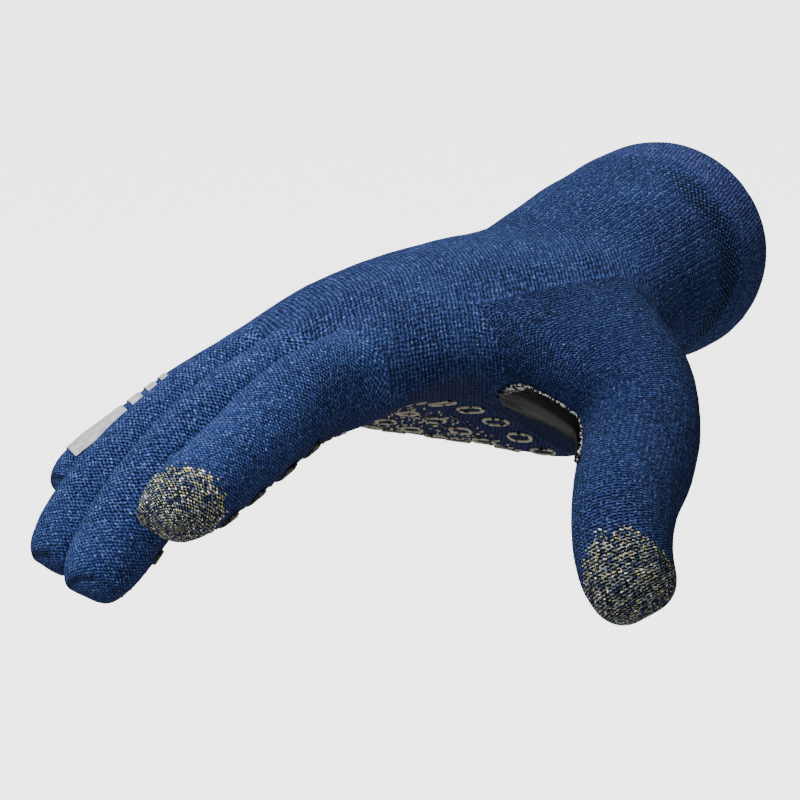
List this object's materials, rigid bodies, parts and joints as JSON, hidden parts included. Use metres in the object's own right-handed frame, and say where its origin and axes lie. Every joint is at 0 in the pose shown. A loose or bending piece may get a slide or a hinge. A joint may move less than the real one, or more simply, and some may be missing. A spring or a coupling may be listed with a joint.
{
  "type": "cycling glove",
  "caption": "Long-finger knitted cycling glove for the right hand, worn shape, with touchscreen tips, printed palm grip, glossy web patch and ribbed cuff.",
  "frame": {"origin": "middle of the open mouth of the cuff, where the wrist goes in", "axes": "+X out of the cuff towards the forearm, with the fingers towards -X; +Z towards the back of the hand; the thumb is on the -Y side"},
  "size_m": [0.2416, 0.1504, 0.0782],
  "materials": {
    "knit": "melange blue stockinette knit",
    "hem": "darker blue ribbed knit",
    "touch": "cream and dark conductive yarn knit",
    "film": "glossy black film on knit",
    "print": "raised grey silicone print",
    "reflector": "light grey reflective transfer"
  },
  "bodies": {
    "root": {"cuff": "knit", "cuff_hem": "hem", "hand_body": "knit", "index_grip_1": "print", "index_grip_2": "print", "index_grip_3": "print", "index_grip_4": "print", "index_stall": "knit", "index_touch_tip": "touch", "little_stall": "knit", "middle_grip_1": "print", "middle_grip_2": "print", "middle_grip_3": "print", "middle_grip_4": "print", "middle_stall": "knit", "palm_ring_01": "print", "palm_ring_02": "print", "palm_ring_03": "print", "palm_ring_04": "print", "palm_ring_05": "print", "palm_ring_06": "print", "palm_ring_07": "print", "palm_ring_08": "print", "palm_ring_09": "print", "palm_ring_10": "print", "palm_ring_11": "print", "palm_ring_12": "print", "palm_ring_13": "print", "palm_ring_14": "print", "palm_ring_15": "print", "palm_ring_16": "print", "palm_ring_17": "print", "palm_ring_18": "print", "palm_ring_19": "print", "palm_ring_20": "print", "palm_ring_21": "print", "reflector_bar_1": "reflector", "reflector_bar_2": "reflector", "reflector_bar_3": "reflector", "reflector_bar_4": "reflector", "ring_stall": "knit", "thumb_stall": "knit", "thumb_touch_tip": "touch", "web_patch": "film"}
  },
  "joints": []
}
